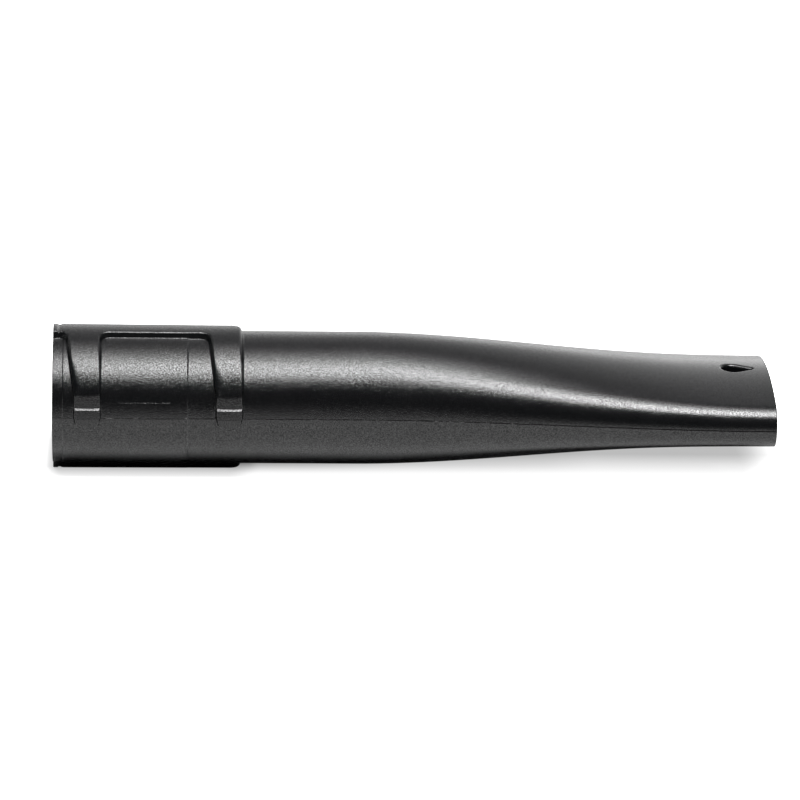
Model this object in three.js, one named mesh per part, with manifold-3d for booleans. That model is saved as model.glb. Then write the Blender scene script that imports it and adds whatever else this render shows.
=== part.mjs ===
// Flat blower-tube nozzle: a bayonet collar, a round duct and a wide flat outlet,
// made of two half shells that meet on a seam at half height.
// Millimetres. The origin is the centre of the inlet rim, +X runs along the duct
// to the outlet, +Z is square to the flat outlet.
import * as THREE from 'three';
import { mergeVertices } from 'three/addons/utils/BufferGeometryUtils.js';
import Module from 'manifold-3d';

const wasm = await Module();
wasm.setup();

// Duct
const LENGTH = 411.5;
const WALL = 2.2;
const TUBE_RADIUS = 38.1;
const TAPER_START = 173.3;
const OUTLET_HALF_WIDTH = 54.2;
const OUTLET_HALF_HEIGHT = 19.4;
const ROUND_CROWN_ANGLE = 45;
const OUTLET_CROWN_ANGLE = 18.9;
const SEAM_GAP = 0.3;

// Collar
const COLLAR_RADIUS = 38.6;
const COLLAR_LENGTH = 76.9;
const LIP_RADIUS = 38.3;
const LIP_LENGTH = 6;
const LUG_TRACK_RADIUS = 42;
const LUG_TRACK_END_RADIUS = 41.75;
const LUG_TRACK_LENGTH = 108.5;
const LUG_TRACK_HALF_WIDTH = 7.3;
const TRACK_FILLET = 4.7;
const NOTCH_X = 3.7;
const NOTCH_WIDTH = 2.6;
const NOTCH_DEPTH = 1;

// The two cross tracks that run down from the long lug track, each with its own
// slanted left edge, and the pocket at the end of each
const CROSS_TRACKS = [
  { topLeft: 8, bottomLeft: 12.5, bottomRight: 27.7, topRight: 28.3 },
  { topLeft: 89.2, bottomLeft: 93.4, bottomRight: 108.5, topRight: 108.5 },
];
const FACET_Y = 39.7;
const POCKET_Y = 41;
const POCKET_TOP = 5.2;
const LEDGE = POCKET_Y - FACET_Y;

// Blank label pad between the cross tracks
const PAD = { x0: 36.7, x1: 67.8, z0: -5.4, z1: 8.9, radius: 38.85 };

// Hollow pillar that ties the two flat walls together at the outlet
const PILLAR_X = 391;
const PILLAR_RADIUS = 6.2;
const PILLAR_TIP_X = 401.6;
const PILLAR_TIP_RADIUS = 1;

const REACH = 60;
const CYLINDER_SIDES = 80;
const RING_STEP = 8;
const CROWN_STEPS = 5;
const CORNER_STEPS = 6;

const clamp01 = (t) => Math.min(1, Math.max(0, t));
const radians = THREE.MathUtils.degToRad;

function solidOf(geometry) {
  const bare = geometry.index ? geometry.toNonIndexed() : geometry.clone();
  bare.deleteAttribute('normal');
  bare.deleteAttribute('uv');
  const merged = mergeVertices(bare, 1e-5);
  return new wasm.Manifold(new wasm.Mesh({
    numProp: 3,
    vertProperties: new Float32Array(merged.attributes.position.array),
    triVerts: new Uint32Array(merged.index.array),
  }));
}

function join(solids) {
  return solids.reduce((whole, solid) => whole.add(solid));
}

function moved(solid, matrix) {
  return solid.transform(matrix.toArray());
}

// Half a turn about the duct's axis carries each half of the collar onto the other
function withTwin(solid) {
  return solid.add(moved(solid, new THREE.Matrix4().makeRotationX(Math.PI)));
}

// Size of the outer section at one station: half width, half height and the angle
// at which the shallow crown arc hands over to the tight corner arc
function sectionAt(x) {
  const t = clamp01((x - TAPER_START) / (LENGTH - TAPER_START));
  const blend = t * t * (3 - 2 * t);
  return {
    halfWidth: THREE.MathUtils.lerp(TUBE_RADIUS, OUTLET_HALF_WIDTH, blend),
    halfHeight: THREE.MathUtils.lerp(TUBE_RADIUS, OUTLET_HALF_HEIGHT, blend),
    crownAngle: radians(THREE.MathUtils.lerp(ROUND_CROWN_ANGLE, OUTLET_CROWN_ANGLE, blend)),
  };
}

// One quarter of the section, from the crown to the seam, as two tangent arcs
function quarterPoints(x, inset) {
  const { halfWidth, halfHeight, crownAngle } = sectionAt(x);
  const sin = Math.sin(crownAngle);
  const cos = Math.cos(crownAngle);
  const crown = (halfWidth * cos - halfHeight * (1 - sin)) / (sin + cos - 1);
  const corner = (halfHeight * sin - halfWidth * (1 - cos)) / (sin + cos - 1);
  const crownZ = halfHeight - crown;
  const points = [];
  for (let i = 0; i <= CROWN_STEPS; i += 1) {
    const angle = (crownAngle * i) / CROWN_STEPS;
    const r = crown - inset;
    points.push([r * Math.sin(angle), crownZ + r * Math.cos(angle)]);
  }
  for (let i = 1; i <= CORNER_STEPS; i += 1) {
    const angle = crownAngle + ((Math.PI / 2 - crownAngle) * i) / CORNER_STEPS;
    const r = corner - inset;
    points.push([
      (crown - corner) * sin + r * Math.sin(angle),
      crownZ + (crown - corner) * cos + r * Math.cos(angle),
    ]);
  }
  points[points.length - 1][1] = 0;
  return points;
}

function ringPoints(x, inset) {
  const quarter = quarterPoints(x, inset);
  const last = quarter.length - 1;
  const ring = [];
  for (let i = 0; i < last; i += 1) ring.push([quarter[i][0], quarter[i][1]]);
  for (let i = last; i > 0; i -= 1) ring.push([quarter[i][0], -quarter[i][1]]);
  for (let i = 0; i < last; i += 1) ring.push([-quarter[i][0], -quarter[i][1]]);
  for (let i = last; i > 0; i -= 1) ring.push([-quarter[i][0], quarter[i][1]]);
  return ring;
}

// Closed loft through the duct's sections, moved inwards by inset
function ductSolid(inset, startX, endX) {
  const stations = [startX];
  const steps = Math.round((LENGTH - TAPER_START) / RING_STEP);
  for (let i = 0; i <= steps; i += 1) {
    stations.push(TAPER_START + ((LENGTH - TAPER_START) * i) / steps);
  }
  if (endX > LENGTH) stations.push(endX);
  const positions = [];
  const count = ringPoints(startX, inset).length;
  stations.forEach((x) => {
    ringPoints(x, inset).forEach(([y, z]) => positions.push(x, y, z));
  });
  const startCentre = positions.length / 3;
  positions.push(stations[0], 0, 0);
  positions.push(stations[stations.length - 1], 0, 0);
  const lastRing = (stations.length - 1) * count;
  const index = [];
  for (let j = 0; j < count; j += 1) {
    const k = (j + 1) % count;
    for (let i = 0; i < lastRing; i += count) {
      index.push(i + j, i + count + j, i + k);
      index.push(i + count + j, i + count + k, i + k);
    }
    index.push(startCentre, j, k);
    index.push(startCentre + 1, lastRing + k, lastRing + j);
  }
  const geometry = new THREE.BufferGeometry();
  geometry.setAttribute('position', new THREE.Float32BufferAttribute(positions, 3));
  geometry.setIndex(index);
  return solidOf(geometry);
}

// Round bar along X, which may taper
function barSolid(startX, endX, startRadius, endRadius = startRadius) {
  const length = endX - startX;
  const geometry = new THREE.CylinderGeometry(endRadius, startRadius, length, CYLINDER_SIDES);
  geometry.rotateZ(-Math.PI / 2);
  geometry.translate((startX + endX) / 2, 0, 0);
  return solidOf(geometry);
}

// Outline through corners [x, y, radius], with each corner rounded by its radius
function roundedOutline(corners) {
  const shape = new THREE.Shape();
  corners.forEach(([x, y, radius], i) => {
    const here = new THREE.Vector2(x, y);
    const before = corners[(i + corners.length - 1) % corners.length];
    const after = corners[(i + 1) % corners.length];
    const towards = (corner) => here.clone().add(
      new THREE.Vector2(corner[0], corner[1]).sub(here).setLength(radius),
    );
    const start = radius ? towards(before) : here;
    const end = radius ? towards(after) : here;
    if (i === 0) shape.moveTo(start.x, start.y);
    else shape.lineTo(start.x, start.y);
    if (radius) shape.quadraticCurveTo(here.x, here.y, end.x, end.y);
  });
  return shape;
}

// Outline in X and Y, extruded from z0 up to z1
function uprightSolid(shape, z0, z1) {
  const geometry = new THREE.ExtrudeGeometry(shape, {
    depth: z1 - z0, bevelEnabled: false, curveSegments: 6,
  });
  geometry.translate(0, 0, z0);
  return solidOf(geometry);
}

// Outline in X and Z, extruded sideways from -y1 to -y0
function sidewaysSolid(shape, y0, y1) {
  const geometry = new THREE.ExtrudeGeometry(shape, {
    depth: y1 - y0, bevelEnabled: false, curveSegments: 10,
  });
  geometry.rotateX(Math.PI / 2);
  geometry.translate(0, -y0, 0);
  return solidOf(geometry);
}

// Top view of the long lug track and its two cross tracks, moved inwards by inset
function trackOutline(inset, startX) {
  const side = LUG_TRACK_HALF_WIDTH - inset;
  const facet = FACET_Y - inset;
  const [front, rear] = CROSS_TRACKS;
  const endX = LUG_TRACK_LENGTH - inset;
  return roundedOutline([
    [startX, side, 0],
    [endX, side, TRACK_FILLET],
    [endX, -facet, 0],
    [rear.bottomLeft + inset, -facet, 0],
    [rear.topLeft + inset, -side, TRACK_FILLET],
    [front.topRight - inset, -side, TRACK_FILLET],
    [front.bottomRight - inset, -facet, 0],
    [front.bottomLeft + inset, -facet, 0],
    [front.topLeft + inset, -side, TRACK_FILLET],
    [startX, -side, 0],
  ]);
}

// End pocket of a cross track: a round bottom on the seam and a bevelled ledge on top
function pocketSolid(track, inset) {
  const centreX = (track.bottomLeft + track.bottomRight) / 2;
  const radius = (track.bottomRight - track.bottomLeft) / 2 - inset;
  const face = POCKET_Y - inset;
  const outline = new THREE.Shape();
  outline.moveTo(centreX + radius, POCKET_TOP + LEDGE);
  outline.lineTo(centreX - radius, POCKET_TOP + LEDGE);
  outline.absarc(centreX, 0, radius, Math.PI, 2 * Math.PI, false);
  const bevel = roundedOutline([
    [0, -REACH, 0],
    [-face, -REACH, 0],
    [-face, POCKET_TOP, 0],
    [-face + LEDGE, POCKET_TOP + LEDGE, 0],
    [0, POCKET_TOP + LEDGE, 0],
  ]);
  const bevelGeometry = new THREE.ExtrudeGeometry(bevel, {
    depth: LUG_TRACK_LENGTH + REACH, bevelEnabled: false,
  });
  bevelGeometry.applyMatrix4(new THREE.Matrix4().makeBasis(
    new THREE.Vector3(0, 1, 0), new THREE.Vector3(0, 0, 1), new THREE.Vector3(1, 0, 0),
  ));
  return sidewaysSolid(outline, TUBE_RADIUS / 2, face).intersect(solidOf(bevelGeometry));
}

function collarRaised(inset) {
  const startX = inset ? -REACH : 0;
  const envelope = barSolid(
    startX, LUG_TRACK_LENGTH + WALL, LUG_TRACK_RADIUS - inset, LUG_TRACK_END_RADIUS - inset,
  );
  const tracks = uprightSolid(trackOutline(inset, startX), POCKET_TOP, REACH).intersect(envelope);
  const pockets = CROSS_TRACKS.map((track) => pocketSolid(track, inset));
  return withTwin(join([tracks, ...pockets]));
}

// Groove round the lug track, just behind the rim
function notchSolid() {
  const r = LUG_TRACK_RADIUS;
  const ring = new THREE.LatheGeometry([
    new THREE.Vector2(r - NOTCH_DEPTH, 0),
    new THREE.Vector2(r + NOTCH_DEPTH, -NOTCH_WIDTH),
    new THREE.Vector2(r + NOTCH_DEPTH, NOTCH_WIDTH),
    new THREE.Vector2(r - NOTCH_DEPTH, 0),
  ], CYLINDER_SIDES);
  ring.rotateZ(-Math.PI / 2);
  ring.translate(NOTCH_X, 0, 0);
  return solidOf(ring);
}

function labelPad() {
  const outline = roundedOutline([
    [PAD.x0, PAD.z0, 1], [PAD.x1, PAD.z0, 1], [PAD.x1, PAD.z1, 1], [PAD.x0, PAD.z1, 1],
  ]);
  return sidewaysSolid(outline, TUBE_RADIUS / 2, REACH).intersect(
    barSolid(PAD.x0 - 1, PAD.x1 + 1, PAD.radius),
  );
}

// Two circles and their outer tangents, grown outwards by grow
function teardrop(grow) {
  const turn = Math.acos((PILLAR_RADIUS - PILLAR_TIP_RADIUS) / (PILLAR_TIP_X - PILLAR_X));
  const shape = new THREE.Shape();
  shape.absarc(PILLAR_X, 0, PILLAR_RADIUS + grow, turn, 2 * Math.PI - turn, false);
  shape.absarc(PILLAR_TIP_X, 0, PILLAR_TIP_RADIUS + grow, -turn, turn, false);
  return shape;
}

function outerSolid() {
  return join([
    ductSolid(0, 0, LENGTH),
    barSolid(0, LIP_LENGTH + WALL, LIP_RADIUS),
    barSolid(LIP_LENGTH, COLLAR_LENGTH, COLLAR_RADIUS),
    collarRaised(0).subtract(notchSolid()),
    withTwin(labelPad()),
  ]);
}

function innerSolid() {
  const bore = join([
    ductSolid(WALL, -REACH, LENGTH + REACH),
    barSolid(-REACH, COLLAR_LENGTH - WALL, COLLAR_RADIUS - WALL),
    collarRaised(WALL),
  ]);
  return bore.subtract(uprightSolid(teardrop(WALL), -REACH, REACH));
}

function halfSpace(side) {
  const size = 2 * LENGTH;
  const box = new THREE.BoxGeometry(size, size, size);
  box.translate(0, 0, side * (size / 2 + SEAM_GAP / 2));
  return solidOf(box);
}

function meshOf(solid, name, material) {
  const { vertProperties, triVerts } = solid.getMesh();
  const geometry = new THREE.BufferGeometry();
  geometry.setAttribute('position', new THREE.Float32BufferAttribute(vertProperties, 3));
  geometry.setIndex(Array.from(triVerts));
  geometry.computeVertexNormals();
  const mesh = new THREE.Mesh(geometry, material);
  mesh.name = name;
  return mesh;
}

const blackPlastic = () => new THREE.MeshStandardMaterial({
  color: 0x1d1f21, roughness: 0.42, metalness: 0,
});

const tackHole = uprightSolid(teardrop(0), -REACH, REACH);
const body = outerSolid().subtract(innerSolid()).subtract(tackHole);
const nozzle = new THREE.Group();
nozzle.add(meshOf(body.intersect(halfSpace(1)), 'upper_shell', blackPlastic()));
nozzle.add(meshOf(body.intersect(halfSpace(-1)), 'lower_shell', blackPlastic()));

export default nozzle;
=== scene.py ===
"""Looks for the flat nozzle of a leaf blower: two moulded half shells welded on one seam.

The upper shell is built as two height-field sheets over the duct's oval section, an outer one and
an inner one. They are joined round the rim, the outlet and the seam, and by the hollow tie pillar
near the outlet. The lower shell is the same moulding turned half a turn about the duct's axis.
Lengths are in millimetres until the mesh is made, and in metres from there on.
"""

import math

import bpy
import numpy as np
from mathutils import Matrix, Vector
from mathutils.geometry import delaunay_2d_cdt


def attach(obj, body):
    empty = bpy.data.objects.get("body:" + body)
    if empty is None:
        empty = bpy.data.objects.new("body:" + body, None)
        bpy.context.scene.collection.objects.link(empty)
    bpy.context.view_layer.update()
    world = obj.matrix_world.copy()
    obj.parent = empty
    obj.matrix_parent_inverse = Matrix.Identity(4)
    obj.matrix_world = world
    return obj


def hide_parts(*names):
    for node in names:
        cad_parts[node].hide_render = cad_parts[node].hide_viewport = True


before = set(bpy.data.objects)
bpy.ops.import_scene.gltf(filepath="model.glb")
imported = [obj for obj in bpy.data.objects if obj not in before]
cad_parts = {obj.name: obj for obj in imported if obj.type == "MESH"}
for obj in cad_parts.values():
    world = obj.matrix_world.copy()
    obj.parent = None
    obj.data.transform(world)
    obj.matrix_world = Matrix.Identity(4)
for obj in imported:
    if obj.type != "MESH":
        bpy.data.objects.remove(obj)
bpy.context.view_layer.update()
scene = bpy.context.scene
scene.view_settings.view_transform = "Standard"
scene.view_settings.look = "None"

# ---------------------------------------------------------------- the duct's section
LENGTH = 411.5
WALL = 2.2
TUBE_R = 38.1
TAPER_X0, TAPER_X1 = 173.3, 411.5
OUT_A, OUT_B = 54.0, 19.35  # half the outlet's width and height
BETA_ROUND, BETA_OUT = math.radians(45), math.radians(17.5)  # crown's angle, tube and outlet
SIDE = TUBE_R * math.pi / 2  # sheet position of the back seam, the front one lies at -SIDE

# ---------------------------------------------------------------- collar, tracks and bands
COLLAR_H, COLLAR_X, COLLAR_STEP = 0.5, 76.9, 1.3
LIP_X, LIP_STEP, LIP_DROP, LIP_CONE = 6.0, 0.6, 0.42, 0.25
TRACK_R0, TRACK_X0, TRACK_R1, TRACK_X1 = 42.0, 8.0, 41.75, 98.0
LUG_HALF, LUG_CORNER = 7.95, 7.6
BANDS = ((6.8, 12.0, 27.9), (88.2, 92.5, 108.7))  # left edge at the lug, left edge below, right edge
BAND_KINK, KINK_CORNER, BAND_CORNER = 48.0, 4.0, 4.7
BAND_SPLIT = 60.0  # an x between the two bands
WALL_SLOPE, CREST_R, FOOT_R = math.radians(65), 1.5, 0.7
BAND_SLOPE, BAND_CREST_R, BAND_FOOT_R = math.radians(72), 0.65, 0.4
BAND_FROM, BAND_RUN = 15.0, 25.0  # where the walls turn from the track's profile to the bands'
INNER_R, INNER_RAMP = 0.6, 1.0
FACET_D, FACET_TILT, FACET_BOW, FACET_BLEND = 40.33, math.radians(3), 110.0, 0.3
PAD_Y, PAD_LEDGE_Z, PAD_R = 41.05, 5.1, 7.6
PAD_BULGE, PAD_LOW_Z, PAD_BOW = 0.37, 5.0, 138.0
SOFT_R, SOFT_TURN, SOFT_SHIFT = 4.25, math.radians(28), 1.3  # soft left edge of each band
SOFT_START, SOFT_END = (20.0, 22.0), (43.0, 7.0)  # down the band: where it begins and ends, run
NOTCH_X, NOTCH_HALF, NOTCH_DEEP = 3.7, 1.3, 1.0
PANEL = (36.7, 67.8, 8.9, 5.4)  # ends, reach beside the front seam, reach beside the back seam
PANEL_H, PANEL_CORNER, PANEL_EDGE, PANEL_RAMP = 0.14, 1.0, 0.1, 0.55
PAST_SEAM, PAST_RIM = 6.0, 12.0  # how far open outlines run on outside the sheet
MIN_ANGLE, MAX_FACE_ANGLE, MIN_COS = -0.3, 0.4, 0.05
WALL_REACH = 1.5  # how far outside its foot line a wall's fillet may begin
PLAIN_FROM = 2.0  # how far outside the foot lines the plain surface begins

# ---------------------------------------------------------------- tie pillar, seam and edges
HOLE_X, HOLE_R, HOLE_TIP_X, HOLE_TIP_R = 391.0, 6.2, 401.6, 1.0
HOLE_COUNT, HOLE_FILLET, HOLE_FROM = 96, 1.7, 350.0
EDGE_R = 0.25
SEAM_LIFT = 0.05
CREASE_W, CREASE_SLOPE = 10.0, math.tan(math.radians(2))
BEADS, BEAD_RAMP, BEAD_R = ((29.3, 36.1), (45.2, 49.7), (74.6, 78.6)), 1.5, 0.4
CHAMFER, TUBE_CHAMFER, CHAMFER_W = 0.07, 0.2, 0.6
TUBE_FROM, TUBE_RUN = 84.0, 8.0
BEAD_DROP, BEAD_DROP_W = 0.15, 0.5

# ---------------------------------------------------------------- mesh lines, as (start, end, step)
RIM_COLUMNS = (0, 0.03, 0.08, 0.15, 0.25)
OUTER_COLUMNS = (
    (0.6, 2.4, 0.6), (2.4, 5.0, 0.26), (LIP_X - 0.45, LIP_X + 0.45, 0.1), (7.5, 75.7, 1.4),
    (COLLAR_X - 0.8, COLLAR_X + 0.8, 0.16), (79, 110, 1.4), (112, 174, 4), (176, 378, 2.5),
    (379, 406, 1.2), (407.5, LENGTH - 0.6, 1.5))
OUTER_ROWS = ((1.0, 2.0, 0.5), (2.0, SIDE, 1.2))
INNER_COLUMNS = ((0, 72, 2.5), (73, 76, 0.25), (78, 110, 2.5), (112, 172, 6), (174, LENGTH, 3))
INNER_ROWS = ((-SIDE, SIDE, 2.2),)
WALL_LINES = (-0.85, -0.6, -0.38, -0.18, 0.0, 0.15, 0.32, 0.52, 0.72, 0.92, 1.12, 1.35, 1.6,
              1.85, 2.1, 2.4, 2.7, 3.05)
INNER_WALL_LINES = (1.7, 2.0, 2.3, 2.7, 3.1, 3.5, 3.8, 4.1)
PANEL_LINES = (-0.1, 0.05, 0.2, 0.35, 0.5)
SEAM_LINES = (0.1, 0.2, 0.3, 0.4, 0.5, 0.62)
HOLE_LINES = (1.7, 1.45, 1.15, 0.85, 0.6, 0.38, 0.2, 0.08, 0.0)
FACET_LINES, LEDGE_LINES = (-0.9, -0.5, -0.1, 0.3, 0.7), (-0.1, 0.1)
OUTER_STEP, INNER_STEP = 1.2, 2.4
PILLAR_LEVELS = (0.75, 0.5, 0.25, 0.0)

# grid points closer than this to a set of lines are left out, so that the lines alone shape the mesh
CLEAR_WALL, CLEAR_HOLE, CLEAR_PANEL, CLEAR_BORDER = (-1.1, 3.4), 2.3, (0.12, 0.45), 0.02
INNER_CLEAR_WALL, INNER_CLEAR_HOLE = (1.4, 4.5), 0.8


def smooth(t):
    t = np.clip(t, 0, 1)
    return t * t * (3 - 2 * t)


def section(x):
    """Crown radius, corner radius, crown angle, height and arc length of a quarter section at x."""
    s = smooth((x - TAPER_X0) / (TAPER_X1 - TAPER_X0))
    a = TUBE_R + (OUT_A - TUBE_R) * s
    b = TUBE_R + (OUT_B - TUBE_R) * s
    beta = BETA_ROUND + (BETA_OUT - BETA_ROUND) * s
    sin, cos = np.sin(beta), np.cos(beta)
    crown = (a * cos - b * (1 - sin)) / (sin + cos - 1)
    corner = (b * sin - a * (1 - cos)) / (sin + cos - 1)
    return crown, corner, beta, b, crown * beta + corner * (math.pi / 2 - beta)


def surface(x, s, h):
    """Point at height h over the section, s being the arc position from the front to the back seam."""
    crown, corner, beta, b, total = section(x)
    arc = np.abs(s) / SIDE * total
    on_crown = arc <= crown * beta
    angle = np.where(on_crown, arc / crown, beta + (arc - crown * beta) / corner)
    side = np.where(s < 0, -1.0, 1.0)
    y = np.where(on_crown, crown * np.sin(angle),
                 (crown - corner) * np.sin(beta) + corner * np.sin(angle))
    z = b - crown + np.where(on_crown, crown * np.cos(angle),
                             (crown - corner) * np.cos(beta) + corner * np.cos(angle))
    return np.stack([x, side * (y + h * np.sin(angle)), z + h * np.cos(angle)], -1)


# ---------------------------------------------------------------- outlines
def rounded(corners, grow=0.0, step=0.8):
    """Closed outline of [x, s, radius] corners, moved outwards by grow, as an even polyline."""
    pts = np.array([c[:2] for c in corners], float)
    n = len(pts)
    area = sum(pts[i][0] * pts[(i + 1) % n][1] - pts[(i + 1) % n][0] * pts[i][1] for i in range(n))
    if area < 0:
        pts = pts[::-1]
        corners = corners[::-1]
    out = []
    for i in range(n):
        p0, p1, p2 = pts[i - 1], pts[i], pts[(i + 1) % n]
        d0 = (p1 - p0) / np.linalg.norm(p1 - p0)
        d1 = (p2 - p1) / np.linalg.norm(p2 - p1)
        n0, n1 = np.array([d0[1], -d0[0]]), np.array([d1[1], -d1[0]])
        p = p1 + (n0 + n1) / (1 + n0 @ n1) * grow
        cross = d0[0] * d1[1] - d0[1] * d1[0]
        turn = math.atan2(cross, d0 @ d1)
        radius = corners[i][2] + (grow if cross > 0 else -grow)
        if not corners[i][2] or radius < 0.03 or abs(turn) < 0.01:
            out.append(p)
            continue
        start = p - d0 * (radius * math.tan(abs(turn) / 2))
        centre = start + math.copysign(radius, turn) * np.array([-d0[1], d0[0]])
        arm = start - centre
        count = max(3, int(abs(turn) * radius / 0.5) + 1)
        for k in range(count + 1):
            cos, sin = math.cos(turn * k / count), math.sin(turn * k / count)
            out.append(centre + np.array([arm[0] * cos - arm[1] * sin, arm[0] * sin + arm[1] * cos]))
    even = []
    for i in range(len(out)):
        p, q = out[i], out[(i + 1) % len(out)]
        parts = max(1, int(np.linalg.norm(q - p) / step))
        even.extend(p + (q - p) * k / parts for k in range(parts))
    return np.array(even)


def signed(x, s, outline):
    """Distance to a closed outline, positive inside it."""
    best = np.full(x.shape, 1e9)
    inside = np.zeros(x.shape, bool)
    for (ax, ay), (bx, by) in zip(outline, np.roll(outline, -1, 0)):
        dx, dy = bx - ax, by - ay
        size = dx * dx + dy * dy
        if size < 1e-12:
            continue
        t = np.clip(((x - ax) * dx + (s - ay) * dy) / size, 0, 1)
        best = np.minimum(best, (x - ax - t * dx) ** 2 + (s - ay - t * dy) ** 2)
        crosses = (ay > s) != (by > s)
        if abs(dy) > 1e-12:
            inside ^= crosses & (x < ax + (s - ay) / dy * dx)
    return np.where(inside, 1, -1) * np.sqrt(best)


def track_corners():
    """Foot outline of the lug track and its two bands, drawn past the rim and the front seam."""
    end = -SIDE - PAST_SEAM
    (l0, l1, l2), (r0, r1, r2) = BANDS
    return [(-PAST_RIM, LUG_HALF, 0), (r2, LUG_HALF, LUG_CORNER), (r2, end, 0),
            (r1, end, 0), (r1, -BAND_KINK, KINK_CORNER), (r0, -LUG_HALF, BAND_CORNER),
            (l2, -LUG_HALF, BAND_CORNER), (l2, end, 0),
            (l1, end, 0), (l1, -BAND_KINK, KINK_CORNER), (l0, -LUG_HALF, BAND_CORNER),
            (-PAST_RIM, -LUG_HALF, 0)]


def pad_corners():
    """Foot outlines of the round ends of the other shell's bands, which cross the back seam."""
    found = []
    for _, foot, right in BANDS:
        middle = (foot + right) / 2
        turns = [math.pi * k / 32 for k in range(33)]
        points = [(middle + PAD_R * math.cos(t), SIDE - PAD_R * math.sin(t), 0) for t in turns]
        points += [(middle - PAD_R, SIDE + PAST_SEAM, 0), (middle + PAD_R, SIDE + PAST_SEAM, 0)]
        found.append(points)
    return found


def panel_corners():
    """Outlines of the raised panel's two halves, one beside each seam."""
    x0, x1, front, back = PANEL
    return [[(x0, inner, PANEL_CORNER), (x1, inner, PANEL_CORNER), (x1, outer, 0), (x0, outer, 0)]
            for inner, outer in ((front - SIDE, -SIDE - PAST_SEAM), (SIDE - back, SIDE + PAST_SEAM))]


def hole_outline(grow):
    """Teardrop in plan: two circles and their outer tangents."""
    turn = math.acos((HOLE_R - HOLE_TIP_R) / (HOLE_TIP_X - HOLE_X))
    big, small = HOLE_R + grow, HOLE_TIP_R + grow
    tangent = math.sqrt((HOLE_TIP_X - HOLE_X) ** 2 - (HOLE_R - HOLE_TIP_R) ** 2)
    pieces = [(2 * (math.pi - turn) * big, "big"), (tangent, "down"),
              (2 * turn * small, "tip"), (tangent, "up")]
    total = sum(p[0] for p in pieces)
    out = []
    for k in range(HOLE_COUNT):
        at = total * k / HOLE_COUNT
        for size, kind in pieces:
            if at <= size:
                break
            at -= size
        share = at / size
        if kind == "big":
            t = turn + share * 2 * (math.pi - turn)
            out.append((HOLE_X + big * math.cos(t), big * math.sin(t)))
        elif kind == "tip":
            t = -turn + share * 2 * turn
            out.append((HOLE_TIP_X + small * math.cos(t), small * math.sin(t)))
        else:
            t = -turn if kind == "down" else turn
            a = np.array([HOLE_X + big * math.cos(t), big * math.sin(t)])
            b = np.array([HOLE_TIP_X + small * math.cos(t), small * math.sin(t)])
            out.append(tuple(a + (b - a) * share if kind == "down" else b + (a - b) * share))
    return np.array(out)


def plan_to_sheet(points):
    """Sheet coordinates of plan points (x, y) near the crown."""
    x, y = points[:, 0], points[:, 1]
    crown, _, _, _, total = section(x)
    return np.stack([x, np.arcsin(y / crown) * crown / total * SIDE], -1)


TRACK = rounded(track_corners())
PADS = [rounded(corners) for corners in pad_corners()]
PANELS = [rounded(corners) for corners in panel_corners()]
HOLE = rounded([(x, s, 0) for x, s in plan_to_sheet(hole_outline(0))])


def track_distance(x, s):
    """Distance inside the foot line of the track, the bands and the pads."""
    d = signed(x, s, TRACK)
    for pad in PADS:
        d = np.maximum(d, signed(x, s, pad))
    return d


# ---------------------------------------------------------------- heights
def wall(d, rise, slope, crest, foot):
    """Height of a sloped wall d inside its foot line, with a round foot and a round crest."""
    rise = np.maximum(rise, 1e-3)
    tan, cos = np.tan(slope), np.cos(slope)
    room = np.minimum(1.0, 0.9 * rise / ((crest + foot) * (1 - cos)))
    crest, foot = crest * room, foot * room
    back_f, back_c = foot * np.tan(slope / 2), crest * np.tan(slope / 2)
    h = np.clip(d * tan, 0, rise)
    in_foot = (d > -back_f) & (d < back_f * cos)
    h = np.where(in_foot, foot - np.sqrt(np.maximum(foot**2 - (d + back_f) ** 2, 0)), h)
    e = d - rise / tan
    in_crest = (e > -back_c * cos) & (e < back_c)
    return np.where(in_crest, rise - crest + np.sqrt(np.maximum(crest**2 - (e - back_c) ** 2, 0)), h)


def rounding(radius, edge):
    """Drop of a round edge at a distance from its border."""
    t = np.clip(radius - edge, 0, radius)
    return radius - np.sqrt(np.maximum(radius**2 - t**2, 0))


def plain_height(x):
    """Height of the collar, its step and the rim strip over the tube."""
    collar = COLLAR_H * (1 - smooth((x - COLLAR_X + COLLAR_STEP / 2) / COLLAR_STEP))
    strip = LIP_DROP * (1 - smooth((x - LIP_X + LIP_STEP / 2) / LIP_STEP))
    cone = LIP_CONE * np.clip((LIP_X - x) / LIP_X, 0, 1)
    return collar - strip - cone


def track_radius(x):
    t = np.clip((x - TRACK_X0) / (TRACK_X1 - TRACK_X0), 0, 1)
    return TRACK_R0 + (TRACK_R1 - TRACK_R0) * t


def facet_distance(x, middle):
    """Distance of a band's slightly bowed facet from the duct's axis."""
    return FACET_D - (x - middle) ** 2 / (2 * FACET_BOW)


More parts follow.
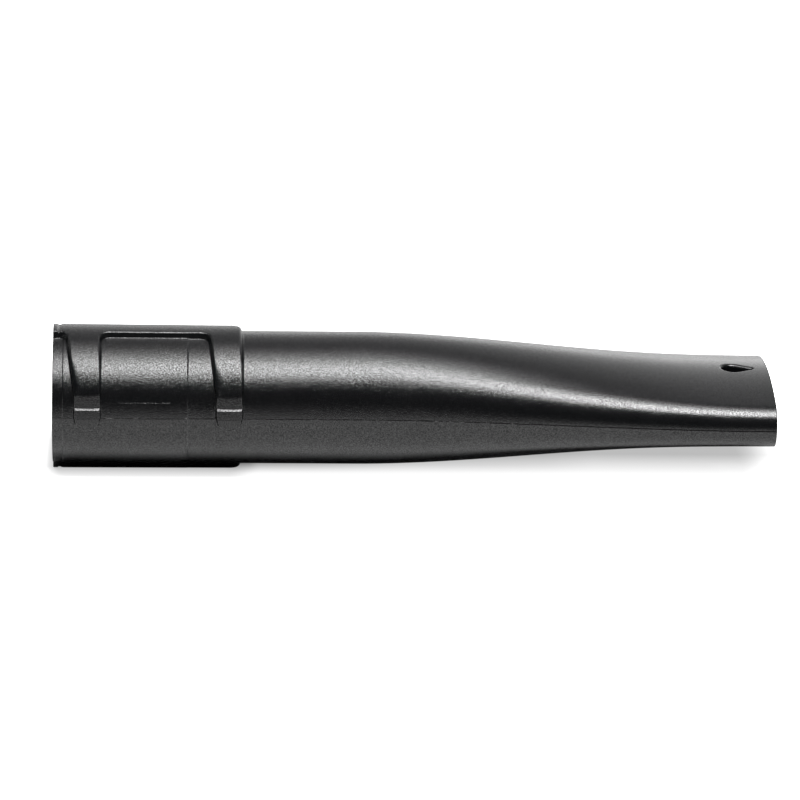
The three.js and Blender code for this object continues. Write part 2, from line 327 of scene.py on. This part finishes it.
def raised_top(x, s):
    """Height of the raised tops over the tube: the tracks, their facets, ledges and pad faces."""
    left, foot, right = (np.where(x < BAND_SPLIT, a, b) for a, b in zip(*BANDS))
    angle = np.clip(np.pi / 2 - np.abs(s) / TUBE_R, MIN_ANGLE, np.pi / 2)
    cos = np.maximum(np.cos(angle), MIN_COS)
    flat = facet_distance(x, (foot + right) / 2) / np.maximum(np.cos(angle - FACET_TILT), MIN_COS)
    z = PAD_Y * np.tan(np.minimum(angle, MAX_FACE_ANGLE))
    face = (PAD_Y + PAD_BULGE - (z + PAD_LOW_Z) ** 2 / (2 * PAD_BOW)) / cos
    ledge = (PAD_Y + PAD_LEDGE_Z) / (np.sin(angle) + cos)
    low = np.maximum(flat, np.minimum(face, ledge))
    begun, ended = (smooth((-s - start) / run) for start, run in (SOFT_START, SOFT_END))
    soft = SOFT_R * begun * (1 - ended)
    down = np.clip((-s - LUG_HALF) / (BAND_KINK - LUG_HALF), 0, 1)
    edge = left + (foot - left) * down + SOFT_SHIFT
    bend = soft / math.sin(SOFT_TURN) + 1e-6
    reach = np.clip(soft - (x - edge), 0, soft)
    drop = np.where(soft > 0.01, bend - np.sqrt(np.maximum(bend**2 - reach**2, 0)), 0)
    top, cap = np.where(s < 0, low, face), track_radius(x) - drop
    blend = np.maximum(FACET_BLEND - np.abs(top - cap), 0) ** 2 / (4 * FACET_BLEND)
    return np.minimum(cap, top) - blend - TUBE_R


def seam_drop(x, s, plain):
    """Drop beside a seam: a shallow step at each bead in front, chamfer and round beads at the back."""
    seam = SIDE - np.abs(s)
    proud = np.zeros(x.shape)
    for x0, x1 in BEADS:
        proud = np.maximum(proud, smooth((x - x0) / BEAD_RAMP) * smooth((x1 - x) / BEAD_RAMP))
    tube = smooth((x - TUBE_FROM) / TUBE_RUN)
    chamfer = (CHAMFER + TUBE_CHAMFER * tube) * plain * (1 - smooth(seam / CHAMFER_W))
    back = chamfer + (rounding(BEAD_R, seam) - chamfer) * proud
    front = BEAD_DROP * proud * (1 - smooth(seam / BEAD_DROP_W))
    return np.where(s < 0, front, back)


def outer_height(x, s):
    base = plain_height(x)
    d = track_distance(x, s)
    low = smooth((np.abs(s) - BAND_FROM) / BAND_RUN)
    slope = WALL_SLOPE + (BAND_SLOPE - WALL_SLOPE) * low
    crest = CREST_R + (BAND_CREST_R - CREST_R) * low
    foot = FOOT_R + (BAND_FOOT_R - FOOT_R) * low
    h = base + np.where(d > -WALL_REACH, wall(d, raised_top(x, s) - base, slope, crest, foot), 0)
    across = np.abs(x - NOTCH_X)
    groove = TRACK_R0 - NOTCH_DEEP + across / NOTCH_HALF * NOTCH_DEEP - TUBE_R
    h = np.where(across < NOTCH_HALF, np.minimum(h, np.maximum(groove, base)), h)
    for panel in PANELS:
        h = h + PANEL_H * smooth((signed(x, s, panel) + PANEL_EDGE) / PANEL_RAMP) * (d < -1)
    plain = 1 - smooth((d + PLAIN_FROM) / PLAIN_FROM)
    crease = np.clip(CREASE_W - SIDE + np.abs(s), 0, CREASE_W) ** 2 / (2 * CREASE_W)
    h = h + plain * CREASE_SLOPE * crease - seam_drop(x, s, plain)
    for edge in (x, LENGTH - x):
        h = h - rounding(EDGE_R, edge)
    return h - np.where(x > HOLE_FROM, rounding(HOLE_FILLET, -signed(x, s, HOLE)), 0)


def inner_height(x, s):
    collar = COLLAR_H * (1 - smooth((x - COLLAR_X + WALL + INNER_RAMP / 2) / INNER_RAMP))
    d = track_distance(x, s)
    rise = np.maximum(raised_top(x, s) - collar, 0.01)
    return collar + np.where(d > 0, wall(d - WALL, rise, WALL_SLOPE, INNER_R, INNER_R), 0) - WALL


# ---------------------------------------------------------------- meshing
def straight(p, q, step):
    count = max(1, int(math.dist(p, q) / step))
    return np.array([[p[0] + (q[0] - p[0]) * k / count, p[1] + (q[1] - p[1]) * k / count]
                     for k in range(count + 1)])


def ladder(runs):
    """Sorted positions: (start, end, step) runs joined together."""
    out = []
    for start, end, step in runs:
        count = max(1, round((end - start) / step))
        out += [start + (end - start) * k / count for k in range(count + 1)]
    return np.unique(np.round(out, 5))


def border_point(outside, inside):
    """Where the line from an outside point to an inside one meets the sheet's border."""
    best = 1.0
    for axis, low, high in ((0, 0.0, LENGTH), (1, -SIDE, SIDE)):
        step = inside[axis] - outside[axis]
        for value in (low, high):
            if abs(step) > 1e-9:
                t = (value - outside[axis]) / step
                if -0.5 <= t <= 1.0:
                    other = outside + (inside - outside) * t
                    if -1e-6 <= other[0] <= LENGTH + 1e-6 and abs(other[1]) <= SIDE + 1e-6:
                        best = t
    p = outside + (inside - outside) * best
    return np.array([min(max(p[0], 0.0), LENGTH), min(max(p[1], -SIDE), SIDE)])


def inside_border(x, s, margin):
    return (x > margin) & (x < LENGTH - margin) & (np.abs(s) < SIDE - margin)


def clip_line(line):
    """Parts of a closed outline that lie inside the sheet, cut exactly at its border."""
    inside = inside_border(line[:, 0], line[:, 1], 0.05)
    if inside.all():
        return [(line, True)]
    n = len(line)
    start = next((i for i in range(n) if not inside[i] and inside[(i + 1) % n]), None)
    if start is None:
        return []
    parts, current = [], []
    for k in range(n + 1):
        i = (start + k) % n
        if inside[i]:
            if not current:
                current.append(border_point(line[i - 1], line[i]))
            current.append(line[i])
        elif current:
            current.append(border_point(line[i], line[i - 1]))
            parts.append((np.array(current), False))
            current = []
    return parts


def wall_lines(depths, step):
    """Mesh lines inside the foot line of the track, the bands and the pads."""
    found = []
    for depth in depths:
        for corners in [track_corners()] + pad_corners():
            found += clip_line(rounded(corners, -depth, step))
    return found


def band_lines():
    """Mesh lines along the facet's upper edge and both edges of the ledge below it."""
    found = []
    ledge_sum = PAD_Y + PAD_LEDGE_Z
    for _, foot, right in BANDS:
        x = np.linspace(foot + 0.2, right - 0.2, 24)
        facet = facet_distance(x, (foot + right) / 2)
        upper = FACET_TILT + np.arccos(facet / track_radius(x))
        ledge = np.arctan((ledge_sum * math.cos(FACET_TILT) - facet)
                          / (facet - ledge_sum * math.sin(FACET_TILT)))
        lower = np.full(x.shape, math.atan(PAD_LEDGE_Z / PAD_Y))
        for angle, shifts in ((upper, FACET_LINES), (ledge, LEDGE_LINES), (lower, LEDGE_LINES)):
            s = angle * TUBE_R - SIDE
            found += [(np.stack([x, s + shift], -1), False) for shift in shifts]
    return found


def border_lines(step):
    corners = [(0, -SIDE), (LENGTH, -SIDE), (LENGTH, SIDE), (0, SIDE)]
    return [(straight(p, q, step), False) for p, q in zip(corners, corners[1:] + corners[:1])]


def sheet_mesh(columns, rows, lines, keep, hole):
    """Delaunay sheet over (x, s) with the given lines in it. Gives its points and triangles."""
    gx, gs = np.meshgrid(columns, rows, indexing="ij")
    x, s = gx.ravel(), gs.ravel()
    mask = keep(x, s)
    points = [np.stack([x[mask], s[mask]], -1)]
    edges = []
    count = mask.sum()
    for line, closed in lines:
        n = len(line)
        points.append(line)
        edges += [(count + i, count + i + 1) for i in range(n - 1)]
        if closed:
            edges.append((count + n - 1, count))
        count += n
    out = delaunay_2d_cdt([Vector(p) for p in np.concatenate(points)], edges, [], 0, 1e-4)
    flat = np.array([tuple(v) for v in out[0]], float)
    tri = np.array([(f[0], f[k], f[k + 1]) for f in out[2] for k in range(1, len(f) - 1)])
    middle = flat[tri].mean(1)
    tri = tri[signed(middle[:, 0], middle[:, 1], hole) < 0]
    a, b, c = (flat[tri[:, k]] for k in range(3))
    area = (b[:, 0] - a[:, 0]) * (c[:, 1] - a[:, 1]) - (b[:, 1] - a[:, 1]) * (c[:, 0] - a[:, 0])
    tri, area = tri[np.abs(area) > 1e-9], area[np.abs(area) > 1e-9]
    tri[area < 0] = tri[area < 0][:, ::-1]
    used, where = np.unique(tri, return_inverse=True)
    return flat[used], where.reshape(-1, 3)


def outer_sheet():
    """Outer sheet, with fine lines at every wall, fillet and seam."""
    beside = ladder(OUTER_ROWS)
    rows = np.unique(np.round(np.concatenate([beside - SIDE, (SIDE - beside)[::-1]]), 5))
    rim = np.array(RIM_COLUMNS)
    columns = np.unique(np.round(np.concatenate([rim, ladder(OUTER_COLUMNS), LENGTH - rim]), 5))
    lines = wall_lines(WALL_LINES, 0.8)
    for corners in panel_corners():
        for depth in PANEL_LINES:
            lines += clip_line(rounded(corners, -depth))
    lines += band_lines()
    for seam in SEAM_LINES:
        for s in (seam - SIDE, SIDE - seam):
            lines.append((straight((0, s), (LENGTH, s), OUTER_STEP), False))
    lines += [(plan_to_sheet(hole_outline(grow)), True) for grow in HOLE_LINES]
    lines += border_lines(OUTER_STEP)

    def keep(x, s):
        d = track_distance(x, s)
        found = (d < CLEAR_WALL[0]) | (d > CLEAR_WALL[1])
        found &= (signed(x, s, HOLE) < -CLEAR_HOLE) & inside_border(x, s, CLEAR_BORDER)
        middle, reach = CLEAR_PANEL
        for panel in PANELS:
            found &= (np.abs(signed(x, s, panel) - middle) > reach) | (d > -1)
        return found

    return sheet_mesh(columns, rows, lines, keep, plan_to_sheet(hole_outline(0)))


def inner_sheet():
    """Inner sheet, coarser than the outer one."""
    bore = plan_to_sheet(hole_outline(WALL))
    lines = wall_lines(INNER_WALL_LINES, 1.6) + [(bore, True)] + border_lines(INNER_STEP)

    def keep(x, s):
        d = track_distance(x, s)
        clear = signed(x, s, HOLE) < -WALL - INNER_CLEAR_HOLE
        off_walls = (d < INNER_CLEAR_WALL[0]) | (d > INNER_CLEAR_WALL[1])
        return off_walls & clear & inside_border(x, s, CLEAR_BORDER)

    return sheet_mesh(ladder(INNER_COLUMNS), ladder(INNER_ROWS), lines, keep, bore)


def place(height, flat):
    x, s = flat[:, 0], np.clip(flat[:, 1], -SIDE, SIDE)
    points = surface(x, s, height(x, s))
    points[:, 2] = np.maximum(points[:, 2], SEAM_LIFT)
    return points


def sheet_normals(height, flat, sign):
    """Unit normals of the height field, by small steps either way."""
    x, s = flat[:, 0], np.clip(flat[:, 1], -SIDE, SIDE)
    e = 0.02
    x0, x1 = np.maximum(x - e, 0), np.minimum(x + e, LENGTH)
    s0, s1 = np.maximum(s - e, -SIDE), np.minimum(s + e, SIDE)
    along = surface(x1, s, height(x1, s)) - surface(x0, s, height(x0, s))
    across = surface(x, s1, height(x, s1)) - surface(x, s0, height(x, s0))
    n = np.cross(along, across) * sign
    return n / np.linalg.norm(n, axis=1, keepdims=True)


def border_chain(flat, axis, value):
    """Vertex numbers along one border of a sheet, and their positions along it."""
    found = np.where(np.abs(flat[:, axis] - value) < 1e-4)[0]
    found = found[np.argsort(flat[found, 1 - axis])]
    return found, flat[found, 1 - axis]


def zipper(a, b, ta, tb):
    """Triangles between two open chains of vertex numbers, ordered by ta and tb."""
    i = j = 0
    out = []
    while i < len(a) - 1 or j < len(b) - 1:
        if j == len(b) - 1 or (i < len(a) - 1 and ta[i + 1] <= tb[j + 1]):
            out.append((a[i], a[i + 1], b[j]))
            i += 1
        else:
            out.append((a[i], b[j + 1], b[j]))
            j += 1
    return out


def ring_normals(ring):
    """Outward normals of a closed outline in plan."""
    step = np.roll(ring, -1, 0) - np.roll(ring, 1, 0)
    n = np.stack([step[:, 1], -step[:, 0], np.zeros(len(ring))], -1)
    n = n / np.linalg.norm(n, axis=1, keepdims=True)
    return -n if ((ring - ring.mean(0)) * n[:, :2]).sum() < 0 else n


def build_shell():
    """Points, faces and corner normals of the upper shell."""
    outer, outer_tri = outer_sheet()
    inner, inner_tri = inner_sheet()
    shift = len(outer)
    points = np.concatenate([place(outer_height, outer), place(inner_height, inner)])
    sheet_n = np.concatenate([sheet_normals(outer_height, outer, 1),
                              sheet_normals(inner_height, inner, -1)])
    faces = [tuple(t) for t in np.concatenate([outer_tri, inner_tri[:, ::-1] + shift])]
    normals = [sheet_n[list(f)] for f in faces]

    # the strips that join the sheets at the rim, the outlet and the two seams
    for axis, value, normal in ((0, 0.0, (-1, 0, 0)), (0, LENGTH, (1, 0, 0)),
                                (1, -SIDE, (0, 0, -1)), (1, SIDE, (0, 0, -1))):
        a, ta = border_chain(outer, axis, value)
        b, tb = border_chain(inner, axis, value)
        strip = zipper(a, b + shift, ta, tb)
        p0, p1, p2 = points[list(strip[len(strip) // 2])]
        if np.cross(p1 - p0, p2 - p0) @ np.array(normal) < 0:
            strip = [f[::-1] for f in strip]
        faces += strip
        normals += [np.array([normal] * 3, float)] * len(strip)

    # the tie pillar: its bore and its outside, down to the parting plane, and its foot
    feet = []
    steps = [(k, (k + 1) % HOLE_COUNT) for k in range(HOLE_COUNT)]
    for grow, flat, offset, sign in ((0, outer, 0, -1), (WALL, inner, shift, 1)):
        ring = hole_outline(grow)
        out_normal = ring_normals(ring) * sign
        previous = [int(np.argmin(((flat - p) ** 2).sum(1))) + offset for p in plan_to_sheet(ring)]
        top_z = points[previous][:, 2]
        for level in PILLAR_LEVELS:
            now = [len(points) + k for k in range(HOLE_COUNT)]
            z = SEAM_LIFT + (top_z - SEAM_LIFT) * level
            points = np.concatenate([points, np.stack([ring[:, 0], ring[:, 1], z], -1)])
            for k, m in steps:
                quad, ends = (previous[k], previous[m], now[m], now[k]), (k, m, m, k)
                corner, beside, _, below = points[list(quad)]
                if np.cross(beside - corner, below - corner) @ out_normal[k] <= 0:
                    quad, ends = quad[::-1], ends[::-1]
                faces.append(quad)
                normals.append(out_normal[list(ends)])
            previous = now
        feet.append(previous)
    for k, m in steps:
        quad = (feet[0][k], feet[0][m], feet[1][m], feet[1][k])
        corner, beside, _, below = points[list(quad)]
        if np.cross(beside - corner, below - corner)[2] > 0:
            quad = quad[::-1]
        faces.append(quad)
        normals.append(np.array([(0, 0, -1)] * 4, float))
    return points, faces, np.concatenate(normals)


def make_object(name, points, faces, normals, turned):
    points = points / 1000.0
    if turned:
        points, normals = points * (1, -1, -1), normals * (1, -1, -1)
    mesh = bpy.data.meshes.new(name)
    mesh.from_pydata(points.tolist(), [], faces)
    mesh.update()
    mesh.shade_smooth()
    mesh.normals_split_custom_set(normals.tolist())
    obj = bpy.data.objects.new(name, mesh)
    scene.collection.objects.link(obj)
    return obj


# ---------------------------------------------------------------- node helpers
def mapped(tree, value, start, end, low=0.0, high=1.0, kind="LINEAR"):
    """Map Range node that turns start to end into low to high."""
    node = tree.nodes.new("ShaderNodeMapRange")
    node.interpolation_type = kind
    for name, number in (("From Min", start), ("From Max", end), ("To Min", low), ("To Max", high)):
        node.inputs[name].default_value = number
    tree.links.new(value, node.inputs["Value"])
    return node.outputs["Result"]


def combined(tree, operation, *terms):
    """Math node over sockets and plain numbers."""
    node = tree.nodes.new("ShaderNodeMath")
    node.operation = operation
    for slot, term in zip(node.inputs, terms):
        if isinstance(term, float):
            slot.default_value = term
        else:
            tree.links.new(term, slot)
    return node.outputs["Value"]


def grey_ramp(tree, value, stops):
    """Colour ramp of grey stops (position, value)."""
    node = tree.nodes.new("ShaderNodeValToRGB")
    while len(node.color_ramp.elements) < len(stops):
        node.color_ramp.elements.new(0.5)
    for element, (position, grey) in zip(node.color_ramp.elements, stops):
        element.position = position
        element.color = (grey, grey, grey, 1)
    tree.links.new(value, node.inputs["Fac"])
    return node.outputs["Color"]


def noise(tree, vector, scale, detail):
    node = tree.nodes.new("ShaderNodeTexNoise")
    node.inputs["Scale"].default_value = scale
    node.inputs["Detail"].default_value = detail
    tree.links.new(vector, node.inputs["Vector"])
    return node.outputs["Fac"]


def axes(tree, vector):
    node = tree.nodes.new("ShaderNodeSeparateXYZ")
    tree.links.new(vector, node.inputs["Vector"])
    return node.outputs


def new_material(name):
    material = bpy.data.materials.new(name)
    material.use_nodes = True
    return material, material.node_tree, material.node_tree.nodes["Principled BSDF"].inputs


# ---------------------------------------------------------------- plastic
BASE_COLOUR = (0.0026, 0.0028, 0.0031, 1)
GRAIN_SCALE, GRAIN_DEPTH = 2300, 0.0001
WORN_X, WORN_GRAIN = (0.18, 0.36), 0.45  # the grain is fainter towards the outlet
SPECKLE_SCALE, SPECULAR = 1600, (0.3, 0.72)
SMUDGE_SCALE, SMUDGE_DETAIL, ROUGHNESS = 70, 3, (0.185, 0.22)


def plastic():
    """Black satin plastic with a fine moulded grain and slightly uneven gloss."""
    material, tree, shader = new_material("black_satin_plastic")
    shader["Base Color"].default_value = BASE_COLOUR
    shader["IOR"].default_value = 1.5
    place_on = tree.nodes.new("ShaderNodeTexCoord").outputs["Object"]
    bump = tree.nodes.new("ShaderNodeBump")
    bump.inputs["Distance"].default_value = GRAIN_DEPTH
    strength = mapped(tree, axes(tree, place_on)["X"], *WORN_X, 1.0, WORN_GRAIN)
    tree.links.new(strength, bump.inputs["Strength"])
    tree.links.new(noise(tree, place_on, GRAIN_SCALE, 0), bump.inputs["Height"])
    tree.links.new(bump.outputs["Normal"], shader["Normal"])
    speckle = noise(tree, place_on, SPECKLE_SCALE, 0)
    tree.links.new(mapped(tree, speckle, 0.3, 0.7, *SPECULAR), shader["Specular IOR Level"])
    smudge = noise(tree, place_on, SMUDGE_SCALE, SMUDGE_DETAIL)
    tree.links.new(mapped(tree, smudge, 0.35, 0.65, *ROUGHNESS), shader["Roughness"])
    return material


BLACK = plastic()
shell_points, shell_faces, shell_normals = build_shell()
for piece_name, node, turned in (("upper_shell_skin", "upper_shell", False),
                                 ("lower_shell_skin", "lower_shell", True)):
    piece = make_object(piece_name, shell_points, shell_faces, shell_normals, turned)
    piece.data.materials.append(BLACK)
    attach(piece, "root")
    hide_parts(node)

# ---------------------------------------------------------------- floor
FLOOR_Z, FLOOR_X, FLOOR_HALF = -0.0421, 0.21, 5.0
# painted shade and light in the floor's colour: darker far in front, lighter in a strip just in front
# of the object, darker under it, lighter again past its back
FLOOR_WHITE, FLOOR_SHADED_FRONT, FRONT_SHADE_Y = 0.83, 0.12, (-0.45, -0.1)
UNDER_SHADE_Y, UNDER_SHADE = (-0.06, 0.0), ((0.0, 0.75), (0.3, 0.8), (0.48, 1.0), (0.67, 0.35), (1.0, 0.35))
BEHIND_LIGHT_Y, BEHIND_LIGHT = (0.04, 0.12), 0.5
# the painted shadow that the lens sees, cut out of a painted glow:
# steeper at the collar, deeper under the tube, gone beyond the ends
COLLAR_SHADOW_END, COLLAR_SHADOW_SLOPE, COLLAR_SHADOW_SHIFT = (0.10, 0.12), 0.7, 0.0291
GLOW_Y, GLOW = (-0.01, 0.024), (1.0, 0.46)
TUBE_SHADOW_X, TUBE_SHADOW_Y = (0.10, 0.32), (-0.0135, 0.003)
TUBE_SHADE = ((0.0, 0.0), (0.06, 0.42), (0.2, 0.36), (0.45, 0.18), (0.84, 0.08), (0.97, 0.0))
# painted glow added beside both ends, where the painted shadow stops
BESIDE_ENDS_X, BESIDE_ENDS_GLOW = ((0.0, -0.008), (0.408, 0.435)), 0.55


def from_floor_middle(ends):
    return [x - FLOOR_X for x in ends]


def floor_material():
    """Pale table with painted shade far in front and under the object, and painted light just in front
    of it and past its back. What the lens sees of it carries a painted glow that lifts it to white,
    as in a cut-out, all but a painted soft contact shadow under the collar, the tube and the nozzle's
    end."""
    material, tree, shader = new_material("floor_white_painted_shade_and_glow")
    shader["Roughness"].default_value = 1.0
    shader["Specular IOR Level"].default_value = 0.0
    shader["Emission Color"].default_value = (1, 1, 1, 1)
    at = axes(tree, tree.nodes.new("ShaderNodeTexCoord").outputs["Object"])
    # painted shade far in front and under the object, painted light just in front of it and past its
    # back
    front_shade = mapped(tree, at["Y"], *FRONT_SHADE_Y, FLOOR_SHADED_FRONT, FLOOR_WHITE, "SMOOTHSTEP")
    under = grey_ramp(tree, mapped(tree, at["Y"], *UNDER_SHADE_Y), UNDER_SHADE)
    painted_light_behind = mapped(tree, at["Y"], *BEHIND_LIGHT_Y, 0.0, BEHIND_LIGHT, "SMOOTHSTEP")
    painted_shade_and_light = combined(tree, "ADD", under, painted_light_behind)
    tree.links.new(combined(tree, "MULTIPLY", front_shade, painted_shade_and_light), shader["Base Color"])

    # painted contact shadow: the camera-only glow is weaker near the collar and under the tube
    collar = mapped(tree, at["X"], *from_floor_middle(COLLAR_SHADOW_END), 1.0, 0.0, "SMOOTHSTEP")
    steeper = combined(tree, "MULTIPLY_ADD", at["Y"], COLLAR_SHADOW_SLOPE, COLLAR_SHADOW_SHIFT)
    place_y = combined(tree, "MULTIPLY_ADD", collar, steeper, at["Y"])
    glow = mapped(tree, place_y, *GLOW_Y, *GLOW)
    depth = grey_ramp(tree, mapped(tree, at["X"], *from_floor_middle(TUBE_SHADOW_X)), TUBE_SHADE)
    tube_shadow = combined(tree, "MULTIPLY", depth, mapped(tree, at["Y"], *TUBE_SHADOW_Y))
    lifted = combined(tree, "SUBTRACT", glow, tube_shadow)
    beside = [mapped(tree, at["X"], *from_floor_middle(ends), 0.0, BESIDE_ENDS_GLOW, "SMOOTHSTEP")
              for ends in BESIDE_ENDS_X]
    for extra in [painted_light_behind] + beside:
        lifted = combined(tree, "ADD", lifted, extra)
    # painted glow: only camera rays see this emission, which lifts the floor to white round the painted
    # shadow
    seen = tree.nodes.new("ShaderNodeLightPath").outputs["Is Camera Ray"]
    tree.links.new(combined(tree, "MULTIPLY", seen, lifted), shader["Emission Strength"])
    return material


def floor_sheet():
    mesh = bpy.data.meshes.new("floor")
    corners = ((-1, -1), (1, -1), (1, 1), (-1, 1))
    mesh.from_pydata([(x * FLOOR_HALF, y * FLOOR_HALF, 0) for x, y in corners], [], [(0, 1, 2, 3)])
    mesh.materials.append(floor_material())
    obj = bpy.data.objects.new("floor", mesh)
    obj.location = (FLOOR_X, 0, FLOOR_Z)
    scene.collection.objects.link(obj)


floor_sheet()

# ---------------------------------------------------------------- light
# name, elevations it fills from and to in degrees, radiance, and its two ends along x
STRIPS = (
    ("key_left", 54, 75, 8.5, -0.7, 0.03),
    ("key", 54, 75, 19.0, 0.03, 1.1),
    ("key_back", 75, 86, 7.5, -0.7, 0.8),
    ("top", 86, 97, 3.5, -0.7, 0.6),
    ("top_back", 97, 107, 1.2, -0.7, 0.5),
)
STRIP_DISTANCE = 1.5
SKY = ((0.0, 0.02), (0.45, 0.3), (0.8, 0.48), (0.93, 0.62), (1.0, 1.4))  # by the direction's y
SKY_RIGHT, SKY_STRENGTH = (0.0, 0.25), (1.0, 1.9)  # by the direction's x


def soft_strip(name, low, high, radiance, x0, x1):
    """Light strip that fills the elevations low to high, in degrees, seen from the object."""
    middle = math.radians((low + high) / 2)
    light = bpy.data.lights.new(name, "AREA")
    light.shape = "RECTANGLE"
    light.size = x1 - x0
    light.size_y = 2 * STRIP_DISTANCE * math.tan(math.radians((high - low) / 2))
    light.energy = radiance * math.pi * light.size * light.size_y
    obj = bpy.data.objects.new(name, light)
    scene.collection.objects.link(obj)
    obj.location = ((x0 + x1) / 2, -STRIP_DISTANCE * math.cos(middle),
                    STRIP_DISTANCE * math.sin(middle))
    obj.rotation_euler = (math.radians(90) - middle, 0, 0)


for strip in STRIPS:
    soft_strip(*strip)

world = bpy.data.worlds.new("studio")
scene.world = world
world.use_nodes = True
sky = world.node_tree
background = sky.nodes["Background"].inputs
heading = axes(sky, sky.nodes.new("ShaderNodeTexCoord").outputs["Generated"])
sky.links.new(grey_ramp(sky, heading["Y"], SKY), background["Color"])
sky.links.new(mapped(sky, heading["X"], *SKY_RIGHT, *SKY_STRENGTH), background["Strength"])

# ---------------------------------------------------------------- camera
CAMERA_ELEVATION = math.radians(19.012)
CAMERA_DISTANCE = 2.7
CAMERA_AT = Vector((0.0641, -CAMERA_DISTANCE * math.cos(CAMERA_ELEVATION),
                    CAMERA_DISTANCE * math.sin(CAMERA_ELEVATION)))
LOOK_AT = Vector((0.1994, 0.0, -0.0013))
ROLL = math.radians(1.364)
camera_data = bpy.data.cameras.new("camera")
camera_data.lens = 211.0
camera_data.sensor_width = 36.0
camera_data.clip_end = 50
camera = bpy.data.objects.new("camera", camera_data)
scene.collection.objects.link(camera)
aim = (LOOK_AT - CAMERA_AT).to_track_quat("-Z", "Y").to_matrix()
camera.location = CAMERA_AT
camera.rotation_euler = (aim @ Matrix.Rotation(ROLL, 3, "Z")).to_euler()
scene.camera = camera
